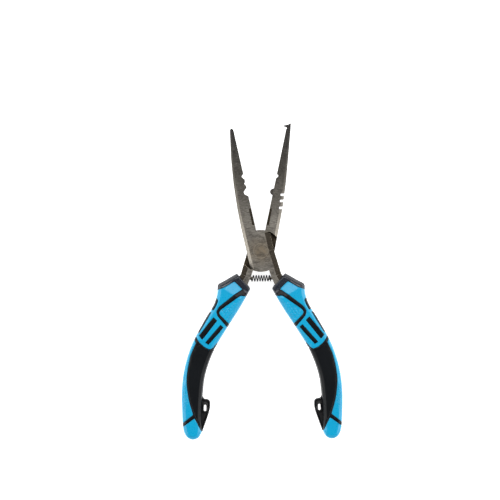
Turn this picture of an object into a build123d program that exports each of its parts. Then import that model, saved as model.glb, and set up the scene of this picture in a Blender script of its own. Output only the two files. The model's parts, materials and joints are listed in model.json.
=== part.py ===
from build123d import *
import math
import os

# Long-nose split-ring fishing pliers, stored fully open and lying on their back.
# X and Y lie in the plane of the tool, +Y runs to the jaw tips, +Z is up from the
# surface it lies on. The origin is under the middle of the object.
# Each lever is drawn in its closed position, about the pivot, and then turned out
# by HALF_OPEN. "Front" is the upper side, +Z.

os.makedirs("parts", exist_ok=True)

# ---- driving dimensions, millimetres and degrees ------------------------------
HALF_OPEN = 12.2          # each lever's turn from closed to open
PIVOT_Y = 18.8            # pivot's distance from the middle of the length
GRIP_T = 14.5             # thickness of the grips
MID_Z = GRIP_T / 2        # plane that halves the lap joint
JOINT_T = 10.0            # thickness of the steel at the joint
TIP_T = 3.2               # thickness of the steel at the jaw tips
TANG_T = 5.0              # thickness of the steel inside the grips

DISC_R = 13.0             # half-lap disc of each lever
RECESS_R = 13.1           # round shoulder that the other lever's disc turns in
LAP_GAP = 0.02            # each disc's gap to the plane between the two
FACE_GAP = 0.06           # each jaw face's distance from the closing line
BEVEL = 1.8               # bevel along the outer edges of the steel, at the joint
TIP_BEVEL = 0.6           # and at the jaw tips
SHANK_BEVEL = (3.2, 1.3)  # wide, shallow bevel along the lap and shank

RIVET_R = 3.2             # rivet shank
RIVET_HEAD_R = 4.5
RIVET_HEAD_T = 2.0
RIVET_RUN = 0.04          # radial running clearance of the front lever on the rivet
RIVET_FIT = 0.01          # radial clearance in the rear lever, which holds the rivet

SPRING_OD = 4.3
SPRING_WIRE = 0.65
SPRING_PITCH = 1.72
SPRING_TURNS = 7.0
SPRING_Y = -17.0          # below the pivot
PEG_R = 1.05
PEG_OUT = 1.9             # a peg's length out of the shank
PEG_IN = 2.0              # and into it

SKIN = 1.8                # thickness of the coloured shells and of the palm pad
EDGE_BEVEL = 1.8          # along the grips' long edges
EYELET_T = 5.0
SLOT_W = 1.7              # tether slot
SLOT_L = 4.2

SLOT_DEG = 12.2           # wire slots of the rear jaw, square to the open tool
WIRE_SLOT_W = 1.55
WIRE_SLOTS = [(-4.9, 36.5), (-5.3, 32.7), (-5.7, 28.4)]   # inner end of each

TOOTH_PITCH = 1.25        # cross serrations of the jaw faces
TOOTH_DEPTH = 0.35


def lever_plane(side, z):
    """Plane of a lever, or of its handle: side is +1 for the right handle, -1 for the left."""
    turn = math.radians(side * HALF_OPEN)
    return Plane(
        origin=(0, PIVOT_Y, z),
        x_dir=(math.cos(turn), math.sin(turn), 0),
        z_dir=(0, 0, 1),
    )


def side_plane(side):
    """Plane through the pivot, seen from the lever's handle side: x is along the lever."""
    turn = math.radians(side * HALF_OPEN)
    return Plane(
        origin=(0, PIVOT_Y, MID_Z),
        x_dir=(-math.sin(turn), math.cos(turn), 0),
        z_dir=(math.cos(turn), math.sin(turn), 0),
    )


def at(side, points):
    """Handle-side points (outward, along the lever) as points of the lever's plane."""
    return [(side * out, along) for out, along in points]


def on_circle(radius, out):
    return (out, math.sqrt(radius**2 - out**2))


# ---- levers ----------------------------------------------------------------
# Outline points are (outward on the handle side, along the lever) from the pivot,
# so the jaw of the same lever has negative first values.

JAW_EDGE_FRONT = [(-8.8, 15.7), (-8.5, 28.3), (-7.4, 43.9), (-5.5, 59.4), (-2.3, 77.4)]
JAW_EDGE_REAR = [(-8.1, 15.7), (-7.7, 29.5), (-6.6, 45.0), (-4.8, 61.0), (-2.9, 77.0)]
TIP_FRONT = [(-1.1, 77.9), (-0.3, 77.3)]
TIP_REAR = [
    (-2.2, 81.4), (-0.9, 80.2), (0.2, 79.7), (1.7, 79.1), (1.75, 78.5), (1.1, 78.25), (0.2, 78.3), (-0.5, 77.9),
]

NOTCHES_FRONT = [
    [(-0.4, 48.8), (-1.6, 47.5), (-0.45, 45.7)],
    [(-0.36, 43.6), (-0.95, 42.9), (-0.36, 41.6)],
    [(-0.34, 39.9), (-2.35, 38.0), (-2.2, 36.4), (-0.36, 34.9)],
]
NOTCHES_REAR = [
    [(-0.15, 48.8), (-1.39, 47.7), (-0.22, 46.0)],
]
CRIMP_BUMP = [(0.3, 39.6), (-1.2, 38.9), (-1.9, 37.7), (-1.9, 36.9), (-1.0, 35.7), (0.3, 35.2)]

SHANK_OUT = [(8.0, -0.8), (9.2, -16.4)]
TANG_OUT = [(9.2, -16.4), (12.8, -27.0), (20.9, -50.0), (27.0, -72.0), (27.4, -88.0), (25.4, -100.0)]
TANG_IN = [(19.2, -99.0), (20.9, -87.0), (20.2, -72.0), (14.4, -51.5), (7.4, -33.0), (3.9, -22.8)]
SHANK_IN = [(2.7, -16.4), (2.3, -12.8)]
LAP_SIDE = -8.6

# half thickness along the lever, for the side profile
PROFILE = [
    (85, TIP_T / 2 - 0.15),
    (JAW_EDGE_FRONT[0][1], JOINT_T / 2),
    (-24.5, JOINT_T / 2),
    (-31, TANG_T / 2),
    (-110, TANG_T / 2),
]

CUTTER_Y = (16.5, 26.8)
CUTTER_W = 2.0
SERRATED = (51.0, 74.5)


def half_thickness(along):
    """Half the steel's thickness, level at the joint and tapering up the jaw."""
    root, top = PROFILE[1], PROFILE[0]
    share = max(0, (along - root[0]) / (top[0] - root[0]))
    return root[1] + share * (top[1] - root[1])


def bevel_width(along):
    """Width of the outer edges' bevel, level at the joint and narrowing up the jaw."""
    share = max(0, (along - PROFILE[1][0]) / (PROFILE[0][0] - PROFILE[1][0]))
    return BEVEL + share * (TIP_BEVEL - BEVEL)


def bevel_wedge(side, start, end, face, sizes):
    """What a bevel takes off one stretch of outer edge: face is +1 for the front, -1 the back.
    sizes holds the bevel's (width, depth) at the start and at the end."""
    plane = lever_plane(side, MID_Z)
    corners = []
    for out, along in (start, end):
        corner = Vector(side * out, along, face * half_thickness(along))
        corners.append(plane.from_local_coords(corner))
    run = corners[1] - corners[0]
    inward = run.cross(Vector(0, 0, 1)).normalized()
    if inward.dot(plane.x_dir) * side * start[0] > 0:
        inward = -inward
    overrun = run.normalized() * 0.2
    with BuildPart() as wedge:
        for corner, (width, depth) in zip((corners[0] - overrun, corners[1] + overrun), sizes):
            cut_plane = Plane(origin=corner, x_dir=inward, z_dir=run)
            down = -face if cut_plane.y_dir.Z > 0 else face
            slope = depth / width
            with BuildSketch(cut_plane):
                toe = (width + 1, -down * slope)
                heel = (-1, down * (depth + slope))
                Polygon(toe, heel, (-1, -down * slope), align=None)
        loft()
    return wedge.part


def make_lever(side, jaw_edge, tip, notches, lap_side):
    """One forged lever. lap_side is +1 if its lap disc is the front half, -1 if the back."""
    disc_edge = on_circle(DISC_R, 7.9)
    lap_foot = (LAP_SIDE, -math.sqrt(DISC_R**2 - LAP_SIDE**2))
    disc_foot = (SHANK_IN[-1][0], -math.sqrt(DISC_R**2 - SHANK_IN[-1][0] ** 2))
    with BuildPart() as lever:
        with BuildSketch(lever_plane(side, MID_Z)):
            with BuildLine():
                top = at(side, [(-FACE_GAP, DISC_R), on_circle(DISC_R, 4.0), disc_edge])
                ThreePointArc(*top)
                Polyline(*at(side, [disc_edge] + SHANK_OUT))
                Spline(*at(side, TANG_OUT))
                Line(*at(side, [TANG_OUT[-1], TANG_IN[0]]))
                Spline(*at(side, TANG_IN))
                Polyline(*at(side, [TANG_IN[-1], SHANK_IN[0], disc_foot]))
                foot = [disc_foot, (-3.0, -math.sqrt(DISC_R**2 - 9.0)), lap_foot]
                ThreePointArc(*at(side, foot))
                Polyline(*at(side, [lap_foot] + jaw_edge))
                face_top = (-FACE_GAP, tip[-1][1] - 0.8)
                Polyline(*at(side, [jaw_edge[-1]] + tip + [face_top, (-FACE_GAP, DISC_R)]))
            make_face()
        extrude(amount=JOINT_T / 2, both=True)
        with BuildSketch(side_plane(side)):
            upper = PROFILE
            lower = [(along, -half) for along, half in reversed(PROFILE)]
            Polygon(*upper, *lower, align=None)
        extrude(amount=60, both=True, mode=Mode.INTERSECT)

        # bevels along the outer edges of lap, jaw and shank
        outer_line = [lap_foot, *jaw_edge]
        shank_line = [disc_edge, *SHANK_OUT, (11.0, -21.6)]
        for face in (1, -1):
            for start, end in zip(outer_line, outer_line[1:]):
                sizes = [(bevel_width(along), bevel_width(along)) for along in (start[1], end[1])]
                add(bevel_wedge(side, start, end, face, sizes), mode=Mode.SUBTRACT)
            for start, end in zip(shank_line, shank_line[1:]):
                sizes = [SHANK_BEVEL, SHANK_BEVEL]
                add(bevel_wedge(side, start, end, face, sizes), mode=Mode.SUBTRACT)

        # the crimp bump stands out of the rear jaw's face
        if lap_side < 0:
            with BuildSketch(lever_plane(side, MID_Z)):
                bump = [(-out, along) for out, along in CRIMP_BUMP]
                Polygon(*at(side, bump), align=None)
            extrude(amount=JOINT_T / 2 - 1.9, both=True)

        # the other lever's disc turns in this recess
        with BuildSketch(lever_plane(side, MID_Z + lap_side * LAP_GAP)):
            Circle(RECESS_R)
        extrude(amount=-lap_side * JOINT_T, mode=Mode.SUBTRACT)

        # hook and crimp notches
        with BuildSketch(lever_plane(side, MID_Z)):
            for notch in notches:
                mouth = [(1.0, notch[0][1] + 0.6), *notch, (1.0, notch[-1][1] - 0.6)]
                Polygon(*at(side, mouth), align=None)
        extrude(amount=JOINT_T, both=True, mode=Mode.SUBTRACT)

        # wire cutter: bevelled from both faces to an edge in the middle
        plane = lever_plane(side, MID_Z)
        for face in (1, -1):
            cutter_plane = Plane(
                origin=plane.from_local_coords(Vector(0, CUTTER_Y[1], 0)),
                x_dir=plane.x_dir,
                z_dir=-plane.y_dir,
            )
            with BuildSketch(cutter_plane):
                edge = [(0.3, -face * 0.4), (-FACE_GAP, -face * 0.4)]
                flank = [(-CUTTER_W, -face * 6.0), (0.3, -face * 6.0)]
                Polygon(*at(side, edge + flank), align=None)
            extrude(amount=CUTTER_Y[1] - CUTTER_Y[0], mode=Mode.SUBTRACT)

        # cross serrations of the gripping face
        teeth = int((SERRATED[1] - SERRATED[0]) / TOOTH_PITCH)
        with BuildSketch(lever_plane(side, MID_Z)):
            for tooth in range(teeth):
                along = SERRATED[0] + tooth * TOOTH_PITCH
                cut = [(0.2, along), (-TOOTH_DEPTH, along + 0.42), (0.2, along + 0.84)]
                Polygon(*at(side, cut), align=None)
        extrude(amount=JOINT_T, both=True, mode=Mode.SUBTRACT)

        # wire slots in the rear jaw's outer edge
        if lap_side < 0:
            with BuildSketch(lever_plane(side, MID_Z)):
                for out, along in WIRE_SLOTS:
                    turn = math.radians(SLOT_DEG)
                    mid = (out - 4 * math.cos(turn), along + 4 * math.sin(turn))
                    with Locations(*at(side, [mid])):
                        Rectangle(8.0, WIRE_SLOT_W, rotation=-side * SLOT_DEG)
            extrude(amount=JOINT_T, both=True, mode=Mode.SUBTRACT)

        # rivet hole, with a recess for the flush head
        hole_gap = RIVET_RUN if lap_side > 0 else RIVET_FIT
        outer_z = MID_Z + lap_side * JOINT_T / 2
        with BuildSketch(lever_plane(side, MID_Z)):
            Circle(RIVET_R + hole_gap)
        extrude(amount=JOINT_T, both=True, mode=Mode.SUBTRACT)
        with BuildSketch(lever_plane(side, outer_z - lap_side * (RIVET_HEAD_T + hole_gap))):
            Circle(RIVET_HEAD_R + hole_gap)
        extrude(amount=lap_side * JOINT_T, mode=Mode.SUBTRACT)
    return lever.part


front_lever = make_lever(1, JAW_EDGE_FRONT, TIP_FRONT, NOTCHES_FRONT, 1)
rear_lever = make_lever(-1, JAW_EDGE_REAR, TIP_REAR, NOTCHES_REAR, -1)

# ---- rivet -----------------------------------------------------------------
with BuildPart() as pivot_rivet:
    with BuildSketch(Plane(origin=(0, PIVOT_Y, MID_Z), x_dir=(1, 0, 0), z_dir=(0, -1, 0))):
        half = JOINT_T / 2
        neck = half - RIVET_HEAD_T
        with BuildLine():
            Polyline(
                (0, -half),
                (RIVET_HEAD_R, -half),
                (RIVET_HEAD_R, -neck),
                (RIVET_R, -neck),
                (RIVET_R, neck),
                (RIVET_HEAD_R, neck),
                (RIVET_HEAD_R, half),
                (0, half),
                close=True,
            )
        make_face()
    revolve(axis=Axis((0, PIVOT_Y, 0), (0, 0, 1)))

# ---- return spring and its pegs ----------------------------------------------
spring_length = SPRING_TURNS * SPRING_PITCH
coil_r = (SPRING_OD - SPRING_WIRE) / 2
spring_start = Vector(-spring_length / 2, PIVOT_Y + SPRING_Y, MID_Z)
with BuildPart() as return_spring:
    with BuildLine():
        coil = Helix(SPRING_PITCH, spring_length, coil_r, center=spring_start, direction=(1, 0, 0))
    with BuildSketch(Plane(origin=coil @ 0, z_dir=coil % 0)):
        Circle(SPRING_WIRE / 2)
    sweep(is_frenet=True)


def make_peg(side):
    """A peg that centres one end of the spring, level when the tool is half closed."""
    tilt = math.radians(side * HALF_OPEN / 2)
    root = lever_plane(side, MID_Z).from_local_coords(Vector(side * 2.95, SPRING_Y - 0.9, 0))
    inward = Vector(-side * math.cos(tilt), -side * math.sin(tilt), 0)
    with BuildPart() as peg:
        with BuildSketch(Plane(origin=root - inward * PEG_IN, z_dir=inward)):
            Circle(PEG_R)
        extrude(amount=PEG_IN + PEG_OUT)
        chamfer(peg.faces().sort_by(Axis.X)[0 if side > 0 else -1].edges(), 0.3)
    return peg.part


spring_peg_left = make_peg(-1)
spring_peg_right = make_peg(1)

# ---- grips -------------------------------------------------------------------
# All points are (outward, along) in the closed handle, as above.

GRIP_OUTER = [
    (21.1, -32.0),
    (21.8, -38.6),
    (25.6, -49.6),
    (30.2, -65.8),
    (31.6, -81.0),
    (30.4, -95.0),
    (27.0, -110.0),
]
GRIP_END = [(27.0, -110.0), (24.6, -117.9), (17.6, -123.1), (12.9, -117.0)]
GRIP_INNER = [
    (12.9, -117.0),
    (15.0, -108.0),
    (17.4, -93.0),
    (18.1, -81.0),
    (16.0, -66.5),
    (10.9, -51.5),
    (5.7, -37.7),
    (1.8, -25.6),
]
GRIP_MOUTH = [(1.8, -25.6), (1.7, -24.1), (3.2, -22.6), (11.7, -16.7)]
GUARD = [(11.7, -16.7), (17.8, -22.2), (21.8, -25.6), (21.7, -28.2), (21.1, -32.0)]

PANEL_TOP = [(6.3, -25.5), (12.2, -21.8), (17.7, -26.8), (21.3, -29.05), (30, -31)]
PANEL_SIDE = [(45, -45), (45, -59.5), (28.6, -59.8)]
PANEL_FOOT = [(27.9, -61.0), (25.2, -63.4), (18.3, -66.0), (16.7, -64.7), (14.7, -61.2), (5, -58)]
STRIPE_OUTER = [(5, -54.8), (12.35, -49.2), (18.1, -44.8), (19.4, -42.2), (18.3, -39.1), (10.75, -30.0)]
STRIPE_INNER = [(7.1, -30.0), (17.0, -40.75), (17.5, -42.6), (16.6, -43.8), (11.0, -47.5), (2, -53.4)]
WEDGE_TOP = [(-6, -45), (-6, -29.5), (6.2, -29.5)]

BARS = [
    [(20.3, -46.05), (17.7, -47.7), (24.3, -61.0), (26.9, -58.9)],
    [(15.1, -49.8), (12.9, -51.05), (19.9, -63.3), (22.1, -62.4)],
]
INLAYS = [
    [(26, -34.0), (20.8, -34.25), (19.7, -35.4), (21.2, -41.6), (26, -41.1)],
    [(30, -43.4), (22.6, -43.2), (24.6, -49.2), (27.5, -57.4), (34, -57.4)],
]
# under the front and back skin the inlays reach in to the core
WEBS = [
    [(26, -34.4), (18.0, -35.0), (18.6, -41.4), (26, -41.0)],
    [(30, -44.0), (20.4, -44.0), (24.6, -57.0), (34, -57.0)],
]
STRIP_INNER = [(27.8, -63.7), (29.5, -73.0), (28.9, -86.3), (25.2, -98.2), (20.4, -107.5)]
STRIP_REST = [(20.4, -107.5), (25.5, -113.7), (40, -125), (45, -62.0), (29.4, -62.0)]
CAP = [(19.1, -109.5), (24.8, -115.8), (40, -132), (0, -132), (0, -118), (12.8, -116.9)]
PALM_EDGE = [(26.9, -65.2), (28.6, -73.2), (28.0, -86.1), (24.3, -97.8), (18.9, -108.0)]
PALM_TOP = [(12.0, -60.0), (13.9, -62.0), (16.1, -65.7), (18.2, -67.1), (25.4, -64.5)]
PALM_FOOT = [(11.6, -117.6), (0, -117), (0, -60)]
EYELET = [(17.2, -95.6), (15.6, -96.9), (13.5, -96.6), (11.9, -97.6), (11.2, -102.0)]
EYELET_FOOT = [(11.9, -110.0), (12.9, -117.0)]
EYELET_ROOT = [(15.0, -108.0), (17.0, -98.0)]
TETHER_SLOT = (14.1, -102.3)

GRIP_OUTLINE = [
    (Spline, GRIP_OUTER),
    (Spline, GRIP_END),
    (Spline, GRIP_INNER),
    (Polyline, GRIP_MOUTH),
    (Polyline, GUARD),
]


def inset(outline, depth):
    """The same closed outline, with each point moved inwards by depth."""
    loop = [point for _, points in outline for point in points[:-1]]
    moved = {}
    for before, point, after in zip(loop[-1:] + loop, loop, loop[1:] + loop[:1]):
        along = Vector(*after) - Vector(*before)
        step = Vector(along.Y, -along.X).normalized() * depth
        moved[point] = (point[0] + step.X, point[1] + step.Y)
    return [(curve, [moved[point] for point in points]) for curve, points in outline]


def make_grip_prism(side, outline, low, high):
    """A grip-shaped solid between two heights."""
    with BuildPart() as prism:
        with BuildSketch(lever_plane(side, low)):
            with BuildLine():
                for curve, points in outline:
                    curve(*at(side, points))
            make_face()
        extrude(amount=high - low)
    return prism.part


def make_grip_body(side):
    """The whole outer shape of a grip, before it is divided into its mouldings."""
    with BuildPart() as body:
        add(make_grip_prism(side, GRIP_OUTLINE, 0, GRIP_T))
        chamfer(body.faces().filter_by(Axis.Z).edges(), EDGE_BEVEL)
    return body.part


def make_shell(side, body, heart, outline, cuts=(), webs=()):
    """The skin of the grip inside an outline of (curve, points) stretches.
    The cuts go right through it; the webs only between the front and back skin."""
    with BuildPart() as shell:
        add(body)
        with BuildSketch(lever_plane(side, -1)):
            with BuildLine():
                for curve, points in outline:
                    curve(*at(side, points))
            make_face()
            for cut in cuts:
                Polygon(*at(side, cut), align=None, mode=Mode.SUBTRACT)
        extrude(amount=GRIP_T + 2, mode=Mode.INTERSECT)
        add(heart, mode=Mode.SUBTRACT)
        for web in webs:
            with BuildSketch(lever_plane(side, SKIN)):
                Polygon(*at(side, web), align=None)
            extrude(amount=GRIP_T - 2 * SKIN, mode=Mode.SUBTRACT)
    return shell.part


def make_eyelet(side):
    """Tab with the slot for a tether, on the inner side of the grip's foot."""
    with BuildPart() as eyelet:
        with BuildSketch(lever_plane(side, MID_Z)):
            with BuildLine():
                Spline(*at(side, EYELET[:2]))
                Polyline(*at(side, EYELET[1:] + EYELET_FOOT + EYELET_ROOT + EYELET[:1]))
            make_face()
            with Locations(*at(side, [TETHER_SLOT])):
                SlotOverall(SLOT_L, SLOT_W, rotation=90 - side * 9, mode=Mode.SUBTRACT)
        extrude(amount=EYELET_T / 2, both=True)
    return eyelet.part


def make_grip(side, lever, peg):
    """All mouldings of one grip, as a dictionary of name and part."""
    body = make_grip_body(side)
    heart = make_grip_prism(side, inset(GRIP_OUTLINE, SKIN), SKIN, GRIP_T - SKIN)
    panel_line = PANEL_TOP + PANEL_SIDE + PANEL_FOOT + STRIPE_OUTER + PANEL_TOP[:1]
    wedge_line = STRIPE_INNER + WEDGE_TOP + STRIPE_INNER[:1]
    palm_line = PALM_EDGE[-1:] + PALM_FOOT + PALM_TOP + PALM_EDGE[:1]
    pieces = {
        "grip_panel": make_shell(side, body, heart, [(Polyline, panel_line)], BARS + INLAYS, WEBS),
        "grip_wedge": make_shell(side, body, heart, [(Polyline, wedge_line)]),
        "grip_strip": make_shell(
            side, body, heart, [(Spline, STRIP_INNER), (Polyline, STRIP_REST + STRIP_INNER[:1])]
        ),
        "grip_end_cap": make_shell(side, body, heart, [(Polyline, CAP + CAP[:1])]),
        "palm_pad": make_shell(side, body, heart, [(Spline, PALM_EDGE), (Polyline, palm_line)]),
    }
    eyelet = make_eyelet(side)
    with BuildPart() as tab:
        add(eyelet)
        add(body, mode=Mode.SUBTRACT)
    pieces["tether_eyelet"] = tab.part
    with BuildPart() as core:
        add(body)
        for piece in (lever, peg):
            add(piece, mode=Mode.SUBTRACT)
        for piece in list(pieces.values())[:5]:
            add(piece, mode=Mode.SUBTRACT)
    pieces["grip_core"] = core.part
    return pieces


# ---- files -------------------------------------------------------------------
with BuildPart() as drilled_front:
    add(front_lever)
    add(spring_peg_right, mode=Mode.SUBTRACT)
with BuildPart() as drilled_rear:
    add(rear_lever)
    add(spring_peg_left, mode=Mode.SUBTRACT)

pieces = {
    "front_lever": drilled_front.part,
    "rear_lever": drilled_rear.part,
    "pivot_rivet": pivot_rivet.part,
    "return_spring": return_spring.part,
    "spring_peg_left": spring_peg_left,
    "spring_peg_right": spring_peg_right,
}
for suffix, side, lever, peg in (
    ("left", -1, rear_lever, spring_peg_left),
    ("right", 1, front_lever, spring_peg_right),
):
    for piece_name, piece in make_grip(side, lever, peg).items():
        pieces[f"{piece_name}_{suffix}"] = piece

for piece_name, piece in pieces.items():
    piece.label = piece_name
    export_step(piece, f"parts/{piece_name}.step")
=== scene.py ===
import json
import math

import bmesh
import bpy
import numpy as np
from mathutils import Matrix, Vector
from mathutils.geometry import delaunay_2d_cdt, interpolate_bezier


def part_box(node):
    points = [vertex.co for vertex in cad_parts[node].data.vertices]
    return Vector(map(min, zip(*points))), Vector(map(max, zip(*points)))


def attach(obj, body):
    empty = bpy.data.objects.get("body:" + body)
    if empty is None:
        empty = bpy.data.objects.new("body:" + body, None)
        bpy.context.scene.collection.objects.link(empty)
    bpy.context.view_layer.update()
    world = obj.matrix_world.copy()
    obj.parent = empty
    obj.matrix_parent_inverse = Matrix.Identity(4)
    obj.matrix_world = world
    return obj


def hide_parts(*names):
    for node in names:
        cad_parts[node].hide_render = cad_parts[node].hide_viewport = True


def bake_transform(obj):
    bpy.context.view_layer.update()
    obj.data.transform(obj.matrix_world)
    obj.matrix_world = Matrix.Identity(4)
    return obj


# Long-nose fishing pliers. The steel pieces are the CAD's own, with finishes; the moulded
# grips, the tether eyelets and the spring are made here in finer detail.
# Lengths below are millimetres in a handle's closed position, as (outward, along) from the
# pivot, and place() takes them to the row frame, in metres.

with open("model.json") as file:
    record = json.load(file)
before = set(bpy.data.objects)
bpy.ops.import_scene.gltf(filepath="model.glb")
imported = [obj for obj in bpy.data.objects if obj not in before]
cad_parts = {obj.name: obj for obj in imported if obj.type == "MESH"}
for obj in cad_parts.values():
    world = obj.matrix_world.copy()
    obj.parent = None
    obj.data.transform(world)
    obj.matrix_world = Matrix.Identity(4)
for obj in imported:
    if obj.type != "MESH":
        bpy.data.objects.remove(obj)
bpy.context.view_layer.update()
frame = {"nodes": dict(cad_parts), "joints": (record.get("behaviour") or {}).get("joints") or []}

MM = 0.001
MERGE_GAP = 1e-4          # points nearer than this are one, in millimetres
JOINT = frame["joints"][0]
PIVOT = Vector(JOINT["pos_m"])
HALF_OPEN = math.radians(12.2)
GRIP_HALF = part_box("grip_core_left")[1].z / 2 / MM      # half the grips' thickness


def place(side, out, along, up=0.0):
    """A point of a closed handle, turned out to where the open handle is."""
    turn = side * HALF_OPEN
    x, y = side * out, along
    return Vector(
        (
            PIVOT.x + (x * math.cos(turn) - y * math.sin(turn)) * MM,
            PIVOT.y + (x * math.sin(turn) + y * math.cos(turn)) * MM,
            PIVOT.z + up * MM,
        )
    )


# ---- plane geometry ------------------------------------------------------------


def smooth_line(points, step=0.5):
    """A Catmull-Rom curve through the points, sampled every step or so."""
    pts = [Vector(p) for p in points]
    ends = [2 * pts[0] - pts[1], *pts, 2 * pts[-1] - pts[-2]]
    line = []
    for before, a, b, after in zip(ends, ends[1:], ends[2:], ends[3:]):
        count = max(2, int((b - a).length / step))
        handle_a, handle_b = a + (b - before) / 6, b - (after - a) / 6
        line += [tuple(v)[:2] for v in interpolate_bezier(a, handle_a, handle_b, b, count + 1)[:-1]]
    return line + [tuple(pts[-1])[:2]]


def rounded(points, radius=0.5, closed=True):
    """A polygon with its corners rounded by short curves."""
    pts = [Vector(p) for p in points]
    line = []
    for i, p in enumerate(pts):
        if not closed and i in (0, len(pts) - 1):
            line.append(tuple(p))
            continue
        before, after = pts[i - 1], pts[(i + 1) % len(pts)]
        cut = min(radius, (p - before).length * 0.45, (after - p).length * 0.45)
        a = p + (before - p).normalized() * cut
        b = p + (after - p).normalized() * cut
        for t in (0.0, 0.25, 0.5, 0.75, 1.0):
            line.append(tuple(a * (1 - t) ** 2 + p * 2 * t * (1 - t) + b * t**2))
    return line


def divided(line, step=0.5, closed=False):
    """The line with points no further apart than step."""
    out = []
    pairs = list(zip(line, line[1:] + line[:1])) if closed else list(zip(line, line[1:]))
    for a, b in pairs:
        count = max(1, math.ceil(math.dist(a, b) / step))
        out += [(a[0] + (b[0] - a[0]) * k / count, a[1] + (b[1] - a[1]) * k / count) for k in range(count)]
    return out if closed else out + [line[-1]]


def inside(points, loop):
    """Which of the points lie inside a closed loop."""
    pts, poly = np.asarray(points, float), np.asarray(loop, float)
    result = np.zeros(len(pts), bool)
    for (ax, ay), (bx, by) in zip(poly, np.roll(poly, -1, 0)):
        if ay == by:
            continue
        crosses = (ay > pts[:, 1]) != (by > pts[:, 1])
        at = ax + (pts[:, 1] - ay) * (bx - ax) / (by - ay)
        result ^= crosses & (pts[:, 0] < at)
    return result


def distance(points, line, closed=True):
    """Distance of each point from a line of straight runs."""
    pts, a = np.asarray(points, float), np.asarray(line, float)
    b = np.roll(a, -1, 0)
    if not closed:
        a, b = a[:-1], b[:-1]
    best = np.full(len(pts), 1e9)
    run = b - a
    length2 = np.maximum((run**2).sum(1), 1e-12)
    for start, vector, square in zip(a, run, length2):
        offset = pts - start
        share = np.clip(offset @ vector / square, 0, 1)
        gap = offset - share[:, None] * vector
        best = np.minimum(best, (gap**2).sum(1))
    return np.sqrt(best)


def offsets(line, depths, closed=True):
    """Points beside a line, at each of the depths to its left."""
    pts = np.asarray(line, float)
    ahead = np.roll(pts, -1, 0) - np.roll(pts, 1, 0)
    if not closed:
        ahead[0], ahead[-1] = pts[1] - pts[0], pts[-1] - pts[-2]
    normal = np.stack([-ahead[:, 1], ahead[:, 0]], 1)
    normal /= np.maximum(np.linalg.norm(normal, axis=1, keepdims=True), 1e-9)
    return np.concatenate([pts + normal * d for d in depths])


def joined(loops):
    """The points of closed loops, and the edges that join them."""
    pts, edges = [], []
    for loop in loops:
        start = len(pts)
        pts += list(loop)
        edges += [(start + i, start + (i + 1) % len(loop)) for i in range(len(loop))]
    return pts, edges


def fill(points, edges):
    """Vertices, triangles and the triangles' middles of a triangulation that keeps the edges."""
    verts, _, faces, _, _, _ = delaunay_2d_cdt([Vector(p) for p in points], edges, [], 0, MERGE_GAP)
    verts = np.array([tuple(v) for v in verts])
    faces = np.array([f for f in faces if len(f) == 3])
    return verts, faces, verts[faces].mean(1)


# ---- the grip's outline and colour zones ------------------------------------------

OUTER = [(21.1, -32.0), (21.8, -38.6), (25.6, -49.6), (30.2, -65.8), (31.6, -81.0), (30.4, -95.0), (27.0, -110.0)]
END = [(27.0, -110.0), (24.6, -117.9), (21.6, -122.1), (17.6, -123.1), (14.2, -121.0), (12.9, -117.0)]
INNER = [
    (12.9, -117.0), (15.0, -108.0), (17.4, -93.0), (18.1, -81.0),
    (16.0, -66.5), (10.9, -51.5), (5.7, -37.7), (1.8, -25.6),
]
MOUTH = [(1.8, -25.6), (1.7, -24.1), (3.2, -22.6), (11.7, -16.7)]
GUARD = [(11.7, -16.7), (14.6, -19.2), (17.8, -22.2), (21.5, -25.2), (21.9, -26.6), (21.4, -29.0), (21.1, -32.0)]

PANEL_TOP = [(6.3, -25.5), (12.2, -21.8), (17.7, -26.8), (21.3, -29.05), (30, -31)]
PANEL_SIDE = [(45, -45), (45, -59.5), (28.6, -59.8)]
PANEL_FOOT = [(27.9, -61.0), (25.2, -63.4), (21.8, -65.3), (18.3, -66.0), (16.7, -64.7), (14.7, -61.2), (5, -58)]
STRIPE_OUTER = [(5, -54.8), (12.35, -49.2), (18.1, -44.8), (19.4, -42.2), (18.3, -39.1), (10.75, -30.0)]
STRIPE_INNER = [(7.1, -30.0), (17.0, -40.75), (17.5, -42.6), (16.6, -43.8), (11.0, -47.5), (2, -53.4)]
WEDGE_TOP = [(-6, -45), (-6, -29.5), (6.2, -29.5)]
BARS = [
    [(20.3, -46.05), (17.7, -47.7), (24.3, -61.0), (26.9, -58.9)],
    [(15.1, -49.8), (12.9, -51.05), (19.9, -63.3), (22.1, -62.4)],
]
INLAYS = [
    [(26, -33.9), (20.9, -34.2), (19.7, -35.4), (20.2, -38.6), (21.2, -41.7), (26, -41.2)],
    [(30, -43.2), (22.4, -43.3), (24.3, -49.2), (27.3, -57.4), (34, -57.2)],
]
STRIP_INNER = [(27.8, -63.7), (29.5, -73.0), (28.9, -86.3), (25.2, -98.2), (20.4, -107.5)]
STRIP_REST = [(25.5, -113.7), (40, -125), (45, -62.0), (29.2, -62.1)]
CAP = [(19.1, -109.5), (24.8, -115.8), (40, -132), (0, -132), (0, -118), (12.8, -116.9)]
PALM_EDGE = [(26.9, -65.2), (28.6, -73.2), (28.0, -86.1), (24.3, -97.8), (18.9, -108.0)]
PALM_FOOT = [(11.6, -117.6), (0, -117), (0, -60)]
PALM_TOP = [(12.0, -60.0), (13.9, -62.0), (16.1, -65.7), (18.2, -67.1), (22.0, -66.6), (25.4, -64.5)]


def grip_outline():
    """The closed outline of a grip, counterclockwise seen from the front of the right one."""
    line = smooth_line(OUTER)[:-1] + smooth_line(END)[:-1] + smooth_line(INNER)[:-1]
    line += divided(rounded(MOUTH, 0.6, closed=False))[:-1] + divided(rounded(GUARD, 1.2, closed=False))[:-1]
    return line[::-1]


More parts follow.
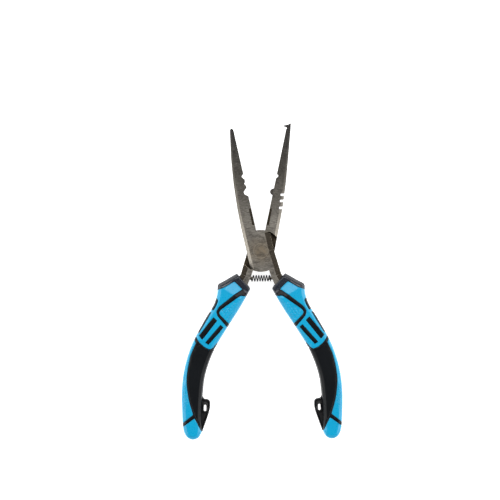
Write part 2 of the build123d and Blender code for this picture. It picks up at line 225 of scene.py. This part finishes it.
OUTLINE = grip_outline()
ZONES = {
    "panel": divided(rounded(PANEL_TOP + PANEL_SIDE + PANEL_FOOT + STRIPE_OUTER, 0.7), closed=True),
    "wedge": divided(rounded(STRIPE_INNER + WEDGE_TOP, 0.8), closed=True),
    "strip": divided(smooth_line(STRIP_INNER) + STRIP_REST, closed=True),
    "cap": divided(rounded(CAP, 0.5), closed=True),
    "palm": divided(smooth_line(PALM_EDGE) + PALM_FOOT + PALM_TOP, closed=True),
}
WINDOWS = [divided(rounded(loop, 0.3), closed=True) for loop in BARS + INLAYS]

SKIN = 1.1               # depth of each moulding
GROOVE_W, GROOVE_D = 0.32, 0.34
INSET = 0.4              # how far the dark core lies below the mouldings
TOP = GRIP_HALF - 0.1    # height of the flat front over the middle plane
SIDE_H, SIDE_R = 1.2, 2.2    # upright side at the outline, and the round above it
FACET_W = 2.4            # facet between the round and the flat front
FACET_SLOPE = math.tan(math.radians(31))
CREASE = [(24.0, -25.05), (-2.0, -35.02)]    # from here the front slopes down to the joint
CREASE_SLOPE = math.tan(math.radians(14))
ROWS = (0.06, 0.16, 0.35, 0.6, 0.9, 1.2, 1.6, 2.0, 2.35, 2.5, 3.1, 3.9)


def past_crease(points):
    """How far each point lies past the crease, towards the joint."""
    (ax, ay), (bx, by) = CREASE
    size = math.dist(*CREASE)
    return ((bx - ax) * (ay - points[:, 1]) - (by - ay) * (ax - points[:, 0])) / size


def front_height(points):
    """The front's height over the middle plane: flat, then sloping to the joint."""
    return TOP - np.interp(past_crease(points), [0, 6.2, 16.2], [0, 6.2 * CREASE_SLOPE, 6.2 * CREASE_SLOPE + 0.5])


def side_height(depth):
    """Height of the round side and the facet above it."""
    share = np.clip(1 - depth / SIDE_R, 0, 1)
    round_side = SIDE_H + (TOP - SIDE_H) * (1 - share**2.2) ** (1 / 2.2)
    return np.minimum(round_side, TOP - FACET_SLOPE * np.clip(FACET_W - depth, 0, None))


def grip_height(depth, points):
    """Height of the grip below its collar."""
    return np.minimum(side_height(depth), front_height(points))


def collar_height(points):
    """The collar's edges: a broad outer facet on the guard, a small round at the mouth."""
    guard = distance(points, GUARD, closed=False)
    outer = np.interp(guard, [0, 0.25, 1.7, 2.0, 2.4], [-2.9, -2.2, -0.4, -0.1, 0.0])
    mouth = np.interp(distance(points, MOUTH, closed=False), [0, 0.12, 0.4, 0.8], [-1.3, -0.7, -0.18, 0.0])
    inner = side_height(distance(points, INNER, closed=False))
    return np.minimum(front_height(points) + np.minimum(outer, mouth), inner)


DIMPLE_R, DIMPLE_D = 0.40, 0.36


def wedge_dimples():
    """Rows of small dimples that follow the grip's inner edge."""
    start_x, start_y, pitch = 4.6, -32.4, 1.9
    spots = []
    for row in range(5):
        for k in range(9):
            along = k * pitch + (pitch / 2 if row % 2 else 0)
            spots.append((start_x + along * 0.365 + row * 1.75, start_y - along * 0.93 + row * 0.55))
    return spots


def strip_dimples():
    """Rows of small dimples along the blue outer strip."""
    spots = []
    for row, depth in enumerate((1.0, 2.2, 3.4)):
        for k in range(23 - 4 * row):
            y = -74.0 - (k + 2 * row) * 1.5 - (row % 2) * 0.75
            edge_x = np.interp(-y, [65, 72, 81, 90, 100, 110], [30.1, 31.1, 31.6, 31.0, 29.2, 27.0])
            spots.append((edge_x - depth, y))
    return spots


def keep_in(spots, loop, gap):
    """Only the spots at least gap inside a loop."""
    ok = inside(spots, loop) & (distance(spots, loop) > gap)
    ok &= inside(spots, OUTLINE) & (distance(spots, OUTLINE) > gap)
    return [spot for spot, good in zip(spots, ok) if good]


def triangulate(outline, loops, spots, step=0.75):
    """Points and triangles of an area, with the loops as edges and rows that follow them."""
    pts, edges = joined([outline, *loops])
    extra = offsets(outline, ROWS)
    ok = inside(extra, outline) & (distance(extra, outline) > np.repeat(ROWS, len(outline)) * 0.93)
    extra = list(map(tuple, extra[ok]))
    crease = offsets(divided(CREASE, 0.5), (0.25, 0.0, -0.25), closed=False)
    extra += list(map(tuple, crease[inside(crease, outline) & (distance(crease, outline) > 2.6)]))
    for loop in loops:
        beside = offsets(loop, (GROOVE_W, -GROOVE_W, GROOVE_W * 0.45, -GROOVE_W * 0.45))
        extra += list(map(tuple, beside[inside(beside, outline)]))
    for x, y in spots:
        extra.append((x, y))
        for ring, count in ((0.5, 6), (1.0, 10), (1.5, 10)):
            for k in range(count):
                turn = 2 * math.pi * k / count
                r = DIMPLE_R * ring
                extra.append((x + r * math.cos(turn), y + r * math.sin(turn)))
    low, high = np.min(outline, 0), np.max(outline, 0)
    grid = []
    for j, y in enumerate(np.arange(low[1], high[1], step * 0.87)):
        for x in np.arange(low[0] + (step / 2 if j % 2 else 0), high[0], step):
            grid.append((x, y))
    grid = np.array(grid)
    grid = grid[inside(grid, outline) & (distance(grid, outline) > ROWS[-1])]
    for loop in loops:
        grid = grid[distance(grid, loop) > GROOVE_W + step * 0.4]
    apart = np.min(np.linalg.norm(grid[:, None] - np.array(spots)[None], axis=2), 1)
    grid = grid[apart > DIMPLE_R * 2]
    verts, faces, middles = fill(pts + extra + list(map(tuple, grid)), edges)
    return verts, faces[inside(middles, outline)]


def moulding(name, side, verts, faces, height, depth, sunk, skin):
    """A closed moulding over front, back and side, from its triangles.
    height is each point's height over the middle plane, depth its distance in from the
    outline, and sunk how far it is then pushed in along the surface's normal."""
    used = np.unique(faces)
    index = {int(v): i for i, v in enumerate(used)}
    pts, tops = verts[used], height[used]
    mesh = bmesh.new()
    front = [mesh.verts.new(place(side, x, y, h)) for (x, y), h in zip(pts, tops)]
    back = [mesh.verts.new(place(side, x, y, -h)) for (x, y), h in zip(pts, tops)]
    edge_use = {}
    for tri in faces:
        a, b, c = (index[int(v)] for v in tri)
        mesh.faces.new((front[a], front[b], front[c]))
        mesh.faces.new((back[c], back[b], back[a]))
        for e in ((a, b), (b, c), (c, a)):
            edge_use.setdefault(tuple(sorted(e)), []).append(e)
    on_outline = depth[used] < 0.02
    for uses in edge_use.values():
        a, b = uses[0]
        if len(uses) == 1 and on_outline[a] and on_outline[b]:
            mesh.faces.new((front[b], front[a], back[a], back[b]))
    corner = verts[faces[0]]
    area = np.cross(corner[1] - corner[0], corner[2] - corner[0])
    if area * side < 0:
        bmesh.ops.reverse_faces(mesh, faces=mesh.faces)
    mesh.normal_update()
    inner = {vert: vert.co - vert.normal * (skin * MM) for vert in front + back}
    for layer in (front, back):
        moves = [vert.normal * (float(s) * MM) for vert, s in zip(layer, sunk[used])]
        for vert, move in zip(layer, moves):
            vert.co -= move
    mesh.normal_update()
    if skin:
        thicken(mesh, inner)
    return finish_mesh(mesh, name)


def thicken(mesh, inner):
    """Closes an open surface with rims and an inner surface, whose places are given."""
    rims = [edge.link_loops[0] for edge in mesh.edges if len(edge.link_faces) == 1]
    rims = [(loop.vert, loop.link_loop_next.vert) for loop in rims]
    outer = [tuple(face.verts) for face in mesh.faces]
    under = {vert: mesh.verts.new(spot) for vert, spot in inner.items()}
    for corners in outer:
        mesh.faces.new([under[vert] for vert in reversed(corners)])
    for a, b in rims:
        mesh.faces.new((b, a, under[a], under[b]))


def finish_mesh(mesh, name, crease=38.0):
    """Turns a bmesh into an object, smooth but for its sharp edges."""
    mesh.normal_update()
    for face in mesh.faces:
        face.smooth = True
    for edge in mesh.edges:
        edge.smooth = edge.calc_face_angle(0.0) < math.radians(crease)
    data = bpy.data.meshes.new(name)
    mesh.to_mesh(data)
    mesh.free()
    piece = bpy.data.objects.new(name, data)
    bpy.context.scene.collection.objects.link(piece)
    return piece


# ---- materials -------------------------------------------------------------------


class Nodes:
    """A short way to wire a material's nodes."""

    def __init__(self, name):
        self.material = bpy.data.materials.new(name)
        self.material.use_nodes = True
        self.tree = self.material.node_tree
        self.shader = self.tree.nodes["Principled BSDF"]

    def add(self, kind, inputs=(), **settings):
        node = self.tree.nodes.new("ShaderNode" + kind)
        for key, value in settings.items():
            setattr(node, key, value)
        for key, value in dict(inputs).items():
            if isinstance(value, bpy.types.NodeSocket):
                self.tree.links.new(value, node.inputs[key])
            else:
                node.inputs[key].default_value = value
        return node

    def link(self, socket, target):
        self.tree.links.new(socket, self.shader.inputs[target])

    def set(self, **values):
        for key, value in values.items():
            self.shader.inputs[key.replace("_", " ").title()].default_value = value

    def local(self):
        """Places in the row frame at rest, whatever the pose."""
        return self.add("TexCoord").outputs["Object"]

    def noise(self, scale, detail=3.0, stretch=(1, 1, 1), turn=0.0, rough=0.5):
        """Noise whose features are stretched along the axes of a frame turned about +Z."""
        spot = self.add(
            "Mapping", {"Vector": self.local(), "Scale": stretch, "Rotation": (0, 0, -turn)}, vector_type="TEXTURE"
        )
        return self.add(
            "TexNoise", {"Vector": spot.outputs[0], "Scale": scale, "Detail": detail, "Roughness": rough}
        ).outputs[0]

    def ramp(self, factor, *stops):
        node = self.add("ValToRGB", {"Fac": factor})
        ramp = node.color_ramp
        while len(ramp.elements) < len(stops):
            ramp.elements.new(0.5)
        for element, (at, colour) in zip(ramp.elements, stops):
            element.position = at
            element.color = (*colour, 1) if len(colour) == 3 else colour
        return node.outputs[0]

    def math(self, operation, a, b=0.0, c=0.0, clamp=False):
        node = self.add("Math", {0: a, 1: b, 2: c}, operation=operation)
        node.use_clamp = clamp
        return node.outputs[0]

    def mix(self, factor, a, b, blend="MIX"):
        node = self.add("Mix", data_type="RGBA", blend_type=blend)
        for target, value in ((0, factor), (6, a), (7, b)):
            if isinstance(value, bpy.types.NodeSocket):
                self.tree.links.new(value, node.inputs[target])
            else:
                node.inputs[target].default_value = value if target == 0 else (*value, 1)
        return node.outputs[2]

    def bump(self, height, strength, distance):
        node = self.add("Bump", {"Height": height, "Strength": strength, "Distance": distance})
        self.link(node.outputs[0], "Normal")


def grey(value):
    return (value, value, value)


JAW_REACH = 0.08            # from the pivot nearly to the tips
CUTTER_SPAN = (0.19, 0.36)  # the cutters' share of that
CUTTER_ACROSS = 0.0085      # how far their faces lie from the middle, at most
LAP_SHARE = 0.18            # pale edges, partly worn and partly painted highlight, are found within this share
LAP_PLAY = 0.0006           # the lap's faces lie this near the middle plane


def steel(name, side, lap_front):
    """Gunmetal forging: ground across its length, with paler bevels, painted shade on the bevels that lean one way,
    and painted shade in the lap's recess.
    """
    n = Nodes(name)
    n.shader.inputs["Specular IOR Level"].default_value = 0.1
    turn = -side * HALF_OPEN
    grain = n.noise(1900, 4.0, (4.0, 1.0, 2.0), turn, 0.7)
    cloud = n.noise(520, 3.0, (1.8, 1, 1), turn + 0.5, 0.6)
    wide = n.noise(70, 2.0)
    flat = n.ramp(
        grain, (0.30, (0.060, 0.053, 0.044)), (0.50, (0.185, 0.171, 0.149)), (0.72, (0.450, 0.420, 0.373))
    )
    flat = n.mix(n.ramp(cloud, (0.38, grey(0.0)), (0.62, grey(0.6))), flat, (0.275, 0.256, 0.225))
    flat = n.mix(n.ramp(wide, (0.35, grey(0.0)), (0.65, grey(0.4))), flat, (0.120, 0.108, 0.092))
    normal = n.add("SeparateXYZ", {0: n.add("TexCoord").outputs["Normal"]}).outputs
    spot = n.add("SeparateXYZ", {0: n.local()}).outputs
    lean = n.math("ABSOLUTE", normal[2])
    # from the joint to the tips the steel darkens
    reach = n.math("MULTIPLY", n.math("SUBTRACT", spot[1], PIVOT.y), 1 / JAW_REACH)
    dim = n.ramp(
        reach, (0.10, grey(1.0)), (0.31, grey(0.56)), (0.56, grey(0.27)), (0.92, (0.145, 0.150, 0.165))
    )
    flat = n.mix(1.0, flat, dim, "MULTIPLY")
    bevel = n.ramp(lean, (0.40, grey(0.0)), (0.5, grey(1.0)), (0.93, grey(1.0)), (0.965, grey(0.0)))
    ground = n.ramp(grain, (0.3, (0.190, 0.173, 0.147)), (0.7, (0.350, 0.323, 0.280)))
    ground = n.mix(1.0, ground, dim, "MULTIPLY")
    shade = n.ramp(grain, (0.3, (0.010, 0.008, 0.006)), (0.7, (0.040, 0.034, 0.026)))
    # painted shade: bevels that lean to the right on the front lever, and to the left on the rear one, take a dark
    # colour that stands for shade
    shaded_bevel = n.math("GREATER_THAN", n.math("MULTIPLY", normal[0], float(side)), 0.0)
    colour = n.mix(bevel, flat, n.mix(shaded_bevel, ground, shade))
    if lap_front:
        # a faint brown patch over the flush rivet
        gap = n.add("VectorMath", {0: n.local(), 1: tuple(PIVOT)}, operation="DISTANCE").outputs["Value"]
        patch = n.math("MULTIPLY", n.ramp(gap, (0.005, grey(0.9)), (0.0095, grey(0.0))), cloud)
        patch = n.math("MULTIPLY", patch, n.math("SUBTRACT", 1.0, bevel))
        colour = n.mix(patch, colour, (0.25, 0.18, 0.095))
    # painted shade in the lap's recess: its faces near the middle plane, facing up or down, are coloured near black
    off_middle = n.math("ABSOLUTE", n.math("SUBTRACT", spot[2], PIVOT.z))
    recess = n.math("MULTIPLY", n.math("LESS_THAN", off_middle, LAP_PLAY), n.math("GREATER_THAN", lean, 0.9))
    colour = n.mix(recess, colour, n.ramp(cloud, (0.3, (0.012, 0.010, 0.008)), (0.75, (0.075, 0.058, 0.040))))
    # the sides, with cutters and teeth, are darker and browner
    upright = n.math("LESS_THAN", lean, 0.42)
    colour = n.mix(n.math("MULTIPLY", upright, 0.9), colour, (0.030, 0.023, 0.016))
    # the cutters are hardened, dark brown and dull
    across = n.math("ABSOLUTE", n.math("SUBTRACT", spot[0], PIVOT.x))
    cutter = n.math("MULTIPLY", upright, n.math("LESS_THAN", across, CUTTER_ACROSS))
    cutter = n.math("MULTIPLY", cutter, n.math("GREATER_THAN", reach, CUTTER_SPAN[0]))
    cutter = n.math("MULTIPLY", cutter, n.math("LESS_THAN", reach, CUTTER_SPAN[1]))
    colour = n.mix(cutter, colour, n.ramp(cloud, (0.3, (0.006, 0.004, 0.002)), (0.75, (0.040, 0.028, 0.013))))
    n.link(n.math("SUBTRACT", 0.92, n.math("MULTIPLY", cutter, 0.85)), "Metallic")
    # thin pale edges round the lap, found by the Bevel node: partly worn, partly a painted highlight along the edges
    soft = n.add("Bevel", {"Radius": 0.00022}, samples=6).outputs[0]
    hard = n.add("NewGeometry").outputs["True Normal"]
    agree = n.add("VectorMath", {0: soft, 1: hard}, operation="DOT_PRODUCT").outputs["Value"]
    near = n.math("LESS_THAN", n.math("ABSOLUTE", reach), LAP_SHARE)
    wear_and_edge_highlight = n.math("MULTIPLY", n.ramp(agree, (0.955, grey(0.6)), (0.992, grey(0.0))), near)
    colour = n.mix(wear_and_edge_highlight, colour, (0.50, 0.44, 0.34))
    n.link(colour, "Base Color")
    rough = n.ramp(cloud, (0.3, grey(0.32)), (0.75, grey(0.48)))
    n.link(n.math("ADD", rough, n.math("MULTIPLY", cutter, 0.5)), "Roughness")
    n.bump(grain, 0.5, 0.00010)
    return n.material


def black_steel(name):
    """Blackened spring wire."""
    n = Nodes(name)
    n.set(Metallic=0.3)
    speck = n.noise(900, 2.0)
    n.link(n.ramp(speck, (0.35, grey(0.002)), (0.75, grey(0.012))), "Base Color")
    n.link(n.ramp(speck, (0.3, grey(0.10)), (0.8, grey(0.22))), "Roughness")
    n.bump(speck, 0.1, 0.00005)
    return n.material


def plastic(name, dark, pale, rough, grain_scale=1500, grain=0.2, specular=0.4):
    """Moulded plastic with a fine spark-eroded grain and a slight drift of colour."""
    n = Nodes(name)
    drift = n.noise(55, 3.0)
    fine = n.noise(grain_scale, 3.0)
    n.link(n.ramp(drift, (0.35, dark), (0.65, pale)), "Base Color")
    n.link(n.ramp(fine, (0.3, grey(rough - 0.06)), (0.7, grey(rough + 0.08))), "Roughness")
    n.shader.inputs["Specular IOR Level"].default_value = specular
    n.bump(fine, grain, 0.00006)
    return n.material


BLUE = plastic("moulded_blue", (0.0, 0.272, 0.480), (0.0, 0.298, 0.516), 0.30, 1300, 0.12, 0.4)
SLATE = plastic("moulded_slate", (0.006, 0.008, 0.014), (0.013, 0.016, 0.025), 0.24, 1200, 0.04, 0.45)
RIB = plastic("moulded_black", (0.0015, 0.002, 0.003), (0.003, 0.004, 0.005), 0.36, 1400, 0.12, 0.2)
BAR = plastic("dotted_black", (0.0005, 0.001, 0.0015), (0.002, 0.004, 0.005), 0.40, 1400, 0.12, 0.14)
RUBBER = plastic("palm_rubber", (0.0012, 0.002, 0.003), (0.0025, 0.0036, 0.005), 0.40, 1700, 0.3, 0.16)
EYELET_BLACK = plastic("eyelet_black", (0.004, 0.004, 0.005), (0.007, 0.007, 0.008), 0.40, 1200, 0.25, 0.4)


def dress(piece, material, body, slot, *replaced):
    """Gives a piece its material and its body, and hides the CAD nodes that it stands in for; slot is not used."""
    piece.data.materials.append(material)
    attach(piece, body)
    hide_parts(*replaced)


# ---- grips -----------------------------------------------------------------------

BODY_OF = {"left": "rear_half", "right": "front_half"}
COLLAR = divided(rounded([(-6, -27.8), (4.4, -27.8), *PANEL_TOP, (30, -10), (-6, -10)], 0.7), closed=True)
SPOTS = keep_in(wedge_dimples(), ZONES["wedge"], 0.9) + keep_in(strip_dimples(), ZONES["strip"], 0.7)
LOOPS = [*ZONES.values(), *WINDOWS, COLLAR]


GRIP_VERTS, GRIP_FACES = triangulate(OUTLINE, LOOPS, SPOTS)
GRIP_DEPTH = distance(GRIP_VERTS, OUTLINE)
MIDDLES = GRIP_VERTS[GRIP_FACES].mean(1)
BODY_HEIGHT = grip_height(GRIP_DEPTH, GRIP_VERTS)


def dimple_sink(points):
    """How deep the dimples are at each point."""
    gap = np.min(np.linalg.norm(points[:, None] - np.array(SPOTS)[None], axis=2), 1)
    return DIMPLE_D * np.clip(1 - (gap / (DIMPLE_R * 1.25)) ** 2, 0, 1)


def groove_sink(points, loops):
    """How deep the grooves along the loops are at each point."""
    gap = np.min([distance(points, loop) for loop in loops], 0)
    return GROOVE_D * np.clip(1 - gap / GROOVE_W, 0, 1) ** 1.5


def make_grip(suffix, side):
    """All the mouldings of one grip."""
    body = BODY_OF[suffix]
    in_window = np.any([inside(MIDDLES, loop) for loop in WINDOWS], 0)
    taken = np.zeros(len(GRIP_FACES), bool)
    looks = {
        "panel": (BLUE, "grip_blue", "grip_panel"),
        "wedge": (BLUE, "grip_blue", "grip_wedge"),
        "strip": (BLUE, "grip_blue", "grip_strip"),
        "cap": (BLUE, "grip_blue", "grip_end_cap"),
        "palm": (RUBBER, "palm", "palm_pad"),
    }
    dimples = dimple_sink(GRIP_VERTS)
    for zone, (material, slot, node) in looks.items():
        mine = inside(MIDDLES, ZONES[zone]) & ~in_window & ~taken
        taken |= mine
        borders = [ZONES[zone]] + (WINDOWS if zone == "panel" else [])
        sunk = groove_sink(GRIP_VERTS, borders) + dimples
        piece = moulding(
            f"{zone}_{suffix}", side, GRIP_VERTS, GRIP_FACES[mine], BODY_HEIGHT, GRIP_DEPTH, sunk, SKIN
        )
        dress(piece, material, body, slot, f"{node}_{suffix}")
    collar = inside(MIDDLES, COLLAR) & ~taken
    height = collar_height(GRIP_VERTS)
    sunk = groove_sink(GRIP_VERTS, [COLLAR]) * 0.5
    piece = moulding(f"collar_{suffix}", side, GRIP_VERTS, GRIP_FACES[collar], height, GRIP_DEPTH, sunk, SKIN)
    dress(piece, SLATE, body, "grip_core", f"grip_core_{suffix}")
    bars = in_window & ~collar
    sunk = groove_sink(GRIP_VERTS, WINDOWS) * 0.8
    piece = moulding(f"bars_{suffix}", side, GRIP_VERTS, GRIP_FACES[bars], BODY_HEIGHT, GRIP_DEPTH, sunk, SKIN)
    dress(piece, BAR, body, "grip_core", f"grip_core_{suffix}")
    ribs = ~taken & ~collar & ~bars
    sunk = groove_sink(GRIP_VERTS, LOOPS) * 0.6
    piece = moulding(f"ribs_{suffix}", side, GRIP_VERTS, GRIP_FACES[ribs], BODY_HEIGHT, GRIP_DEPTH, sunk, SKIN)
    dress(piece, RIB, body, "grip_core", f"grip_core_{suffix}")
    sunk = np.full(len(GRIP_VERTS), INSET)
    core_height = np.minimum(BODY_HEIGHT, height)
    piece = moulding(f"core_{suffix}", side, GRIP_VERTS, GRIP_FACES, core_height, GRIP_DEPTH, sunk, 0)
    dress(piece, RIB, body, "grip_core", f"grip_core_{suffix}")


for grip_suffix, grip_side in (("left", -1), ("right", 1)):
    make_grip(grip_suffix, grip_side)

# ---- tether eyelets ----------------------------------------------------------------

EYELET = divided(
    rounded(
        [
            (17.6, -95.0), (15.7, -97.0), (13.6, -96.6), (11.9, -97.5), (11.1, -101.0), (11.2, -105.0),
            (11.9, -110.5), (12.8, -117.2), (14.6, -115.0), (17.0, -106.0), (18.2, -98.0),
        ],
        0.8,
    ),
    0.4,
    closed=True,
)
SLOT_CENTRE = Vector((14.1, -102.3))
SLOT_HALF_W, SLOT_HALF_L = 0.8, 2.1
SLOT_LEAN = math.radians(9)
EYELET_HALF = 2.5
EYELET_ROWS = (0.1, 0.3, 0.6, 1.0, 1.3)     # rows of points in from the tab's edge
SLOT_ROWS = (0.12, 0.4, 0.75, 1.0)          # and out from the slot's


def slot_loop(grow=0.0, count=8):
    """The slot's outline: two half rounds and two straight sides."""
    r = SLOT_HALF_W + grow
    reach = SLOT_HALF_L - SLOT_HALF_W
    along = Vector((math.sin(SLOT_LEAN), math.cos(SLOT_LEAN)))
    across = Vector((along.y, -along.x))
    loop = []
    for end, start_turn in ((1, 0.0), (-1, math.pi)):
        for k in range(count + 1):
            turn = start_turn + math.pi * k / count
            spot = SLOT_CENTRE + along * (end * reach) + across * (r * math.cos(turn)) + along * (r * math.sin(turn))
            loop.append(tuple(spot))
    return loop


def make_eyelet(suffix, side):
    """Tab with a rim round its edge and another round the tether slot."""
    slot = divided(slot_loop(), 0.3, closed=True)
    pts, edges = joined([EYELET, slot])
    for grow in SLOT_ROWS:
        pts += slot_loop(grow)
    for sign in (1, -1):
        extra = offsets(EYELET, [sign * row for row in EYELET_ROWS])
        keep = inside(extra, EYELET) & (distance(extra, EYELET) > 0.08) & (distance(extra, slot) > 0.15)
        pts += list(map(tuple, extra[keep]))
    low, high = np.min(EYELET, 0), np.max(EYELET, 0)
    grid = np.array([(x, y) for x in np.arange(low[0], high[0], 0.5) for y in np.arange(low[1], high[1], 0.5)])
    grid = grid[inside(grid, EYELET) & (distance(grid, EYELET) > 1.5) & (distance(grid, slot) > 1.2)]
    pts += list(map(tuple, grid))
    verts, faces, middles = fill(pts, edges)
    faces = faces[inside(middles, EYELET) & ~inside(middles, slot)]
    from_edge, from_slot = distance(verts, EYELET), distance(verts, slot)
    height = EYELET_HALF - 0.45 * (1 - np.clip(from_edge / 0.35, 0, 1)) ** 2
    web = np.clip((from_edge - 0.75) / 0.45, 0, 1) * np.clip((from_slot - 0.7) / 0.35, 0, 1)
    height -= 0.75 * web
    height -= 0.2 * (1 - np.clip(from_slot / 0.2, 0, 1)) ** 2
    depth = np.minimum(from_edge, from_slot)
    sunk = np.zeros(len(verts))
    piece = moulding(f"eyelet_{suffix}", side, verts, faces, height, depth, sunk, 0)
    dress(piece, EYELET_BLACK, BODY_OF[suffix], "eyelet", f"tether_eyelet_{suffix}")


make_eyelet("left", -1)
make_eyelet("right", 1)

# ---- return spring -----------------------------------------------------------------


def make_spring():
    """The coil with closed, ground ends, built once at the CAD spring's length; it does not shorten as the handles
    close.
    """
    low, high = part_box("return_spring")
    middle = (low + high) / 2
    length = high.x - low.x
    wire = 0.33 * MM
    radius = (high.z - low.z) / 2 - wire
    turns, sides, per_turn = 7.25, 12, 40
    steps = int(turns * per_turn)
    mesh = bmesh.new()
    rings = []
    for k in range(steps + 1):
        share = k / steps
        # the first and last half turn lie nearly flat against the shanks
        eased = share + 0.35 / (2 * math.pi * turns) * math.sin(2 * math.pi * share)
        x = low.x + wire + (length - 2 * wire) * eased
        turn = 2 * math.pi * turns * share + math.pi / 2
        centre = Vector((x, middle.y + radius * math.cos(turn), middle.z + radius * math.sin(turn)))
        outward = Vector((0, math.cos(turn), math.sin(turn)))
        ahead = Vector(((length - 2 * wire) / steps, 0, 0)) + Vector(
            (0, -math.sin(turn), math.cos(turn))
        ) * (radius * 2 * math.pi * turns / steps)
        across = ahead.normalized().cross(outward)
        ring = []
        for j in range(sides):
            angle = 2 * math.pi * j / sides
            ring.append(mesh.verts.new(centre + (outward * math.cos(angle) + across * math.sin(angle)) * wire))
        rings.append(ring)
    for ring, after in zip(rings, rings[1:]):
        for j in range(sides):
            mesh.faces.new((ring[j], ring[(j + 1) % sides], after[(j + 1) % sides], after[j]))
    mesh.faces.new(list(reversed(rings[0])))
    mesh.faces.new(rings[-1])
    bmesh.ops.recalc_face_normals(mesh, faces=mesh.faces)
    piece = finish_mesh(mesh, "spring_coil", 60)
    piece.data.materials.append(black_steel("spring_black"))
    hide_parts("return_spring")
    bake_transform(piece)


make_spring()

# ---- steel ---------------------------------------------------------------------------

FRONT_STEEL = steel("steel_front_lever", 1, True)
REAR_STEEL = steel("steel_rear_lever", -1, False)
for node_name, finish in (
    ("front_lever", FRONT_STEEL),
    ("rear_lever", REAR_STEEL),
    ("pivot_rivet", FRONT_STEEL),
    ("spring_peg_left", REAR_STEEL),
    ("spring_peg_right", FRONT_STEEL),
):
    frame["nodes"][node_name].data.materials.clear()
    frame["nodes"][node_name].data.materials.append(finish)

# ---- floor, lights and camera -----------------------------------------------------------


FLOOR_HALF, FLOOR_Z = 3.0, -0.0002
CAMERA_HEIGHT, VIEW_WIDTH = 1.3, 0.310
CAMERA_SHIFT = (-6.7, 0.6)      # from the pivot, in millimetres
SENSOR = 36


def make_floor():
    """White paper, bright enough to leave no shadow."""
    mesh = bmesh.new()
    corners = [(-1, -1), (1, -1), (1, 1), (-1, 1)]
    mesh.faces.new([mesh.verts.new((x * FLOOR_HALF, y * FLOOR_HALF, FLOOR_Z)) for x, y in corners])
    floor = finish_mesh(mesh, "floor")
    n = Nodes("floor_white")
    speck = n.noise(40, 2.0)
    n.link(n.ramp(speck, (0.3, grey(0.86)), (0.7, grey(0.88))), "Base Color")
    n.set(Roughness=0.9, Emission_Color=(1, 1, 1, 1), Emission_Strength=0.8)
    floor.data.materials.append(n.material)


def make_light(name, place_at, size, power):
    """A soft box that faces the tool."""
    data = bpy.data.lights.new(name, "AREA")
    data.shape = "RECTANGLE"
    data.size, data.size_y = size
    data.energy = power
    lamp = bpy.data.objects.new(name, data)
    bpy.context.scene.collection.objects.link(lamp)
    lamp.location = place_at
    lamp.rotation_euler = (Vector() - Vector(place_at)).to_track_quat("-Z", "Y").to_euler()


def make_camera():
    """Straight above the tool, square to the floor but for half a degree."""
    data = bpy.data.cameras.new("camera")
    data.sensor_width = SENSOR
    data.lens = SENSOR * (CAMERA_HEIGHT - PIVOT.z) / VIEW_WIDTH
    camera = bpy.data.objects.new("camera", data)
    bpy.context.scene.collection.objects.link(camera)
    camera.location = (PIVOT.x + CAMERA_SHIFT[0] * MM, PIVOT.y + CAMERA_SHIFT[1] * MM, CAMERA_HEIGHT)
    camera.rotation_euler = (0, 0, math.radians(-0.5))
    bpy.context.scene.camera = camera


make_floor()
make_light("left_box", (-1.15, 0.10, 0.62), (1.7, 1.0), 17)
make_light("right_box", (1.15, 0.05, 0.62), (1.7, 1.0), 18.5)
make_light("far_box", (0.0, 0.56, 1.15), (1.4, 0.34), 9.5)
make_light("near_box", (0.0, -1.25, 0.55), (1.9, 1.0), 5)
make_camera()
world = bpy.data.worlds.new("studio")
world.use_nodes = True
world.node_tree.nodes["Background"].inputs[0].default_value = (1, 1, 1, 1)
world.node_tree.nodes["Background"].inputs[1].default_value = 0.16
bpy.context.scene.world = world
bpy.context.scene.view_settings.view_transform = "Standard"
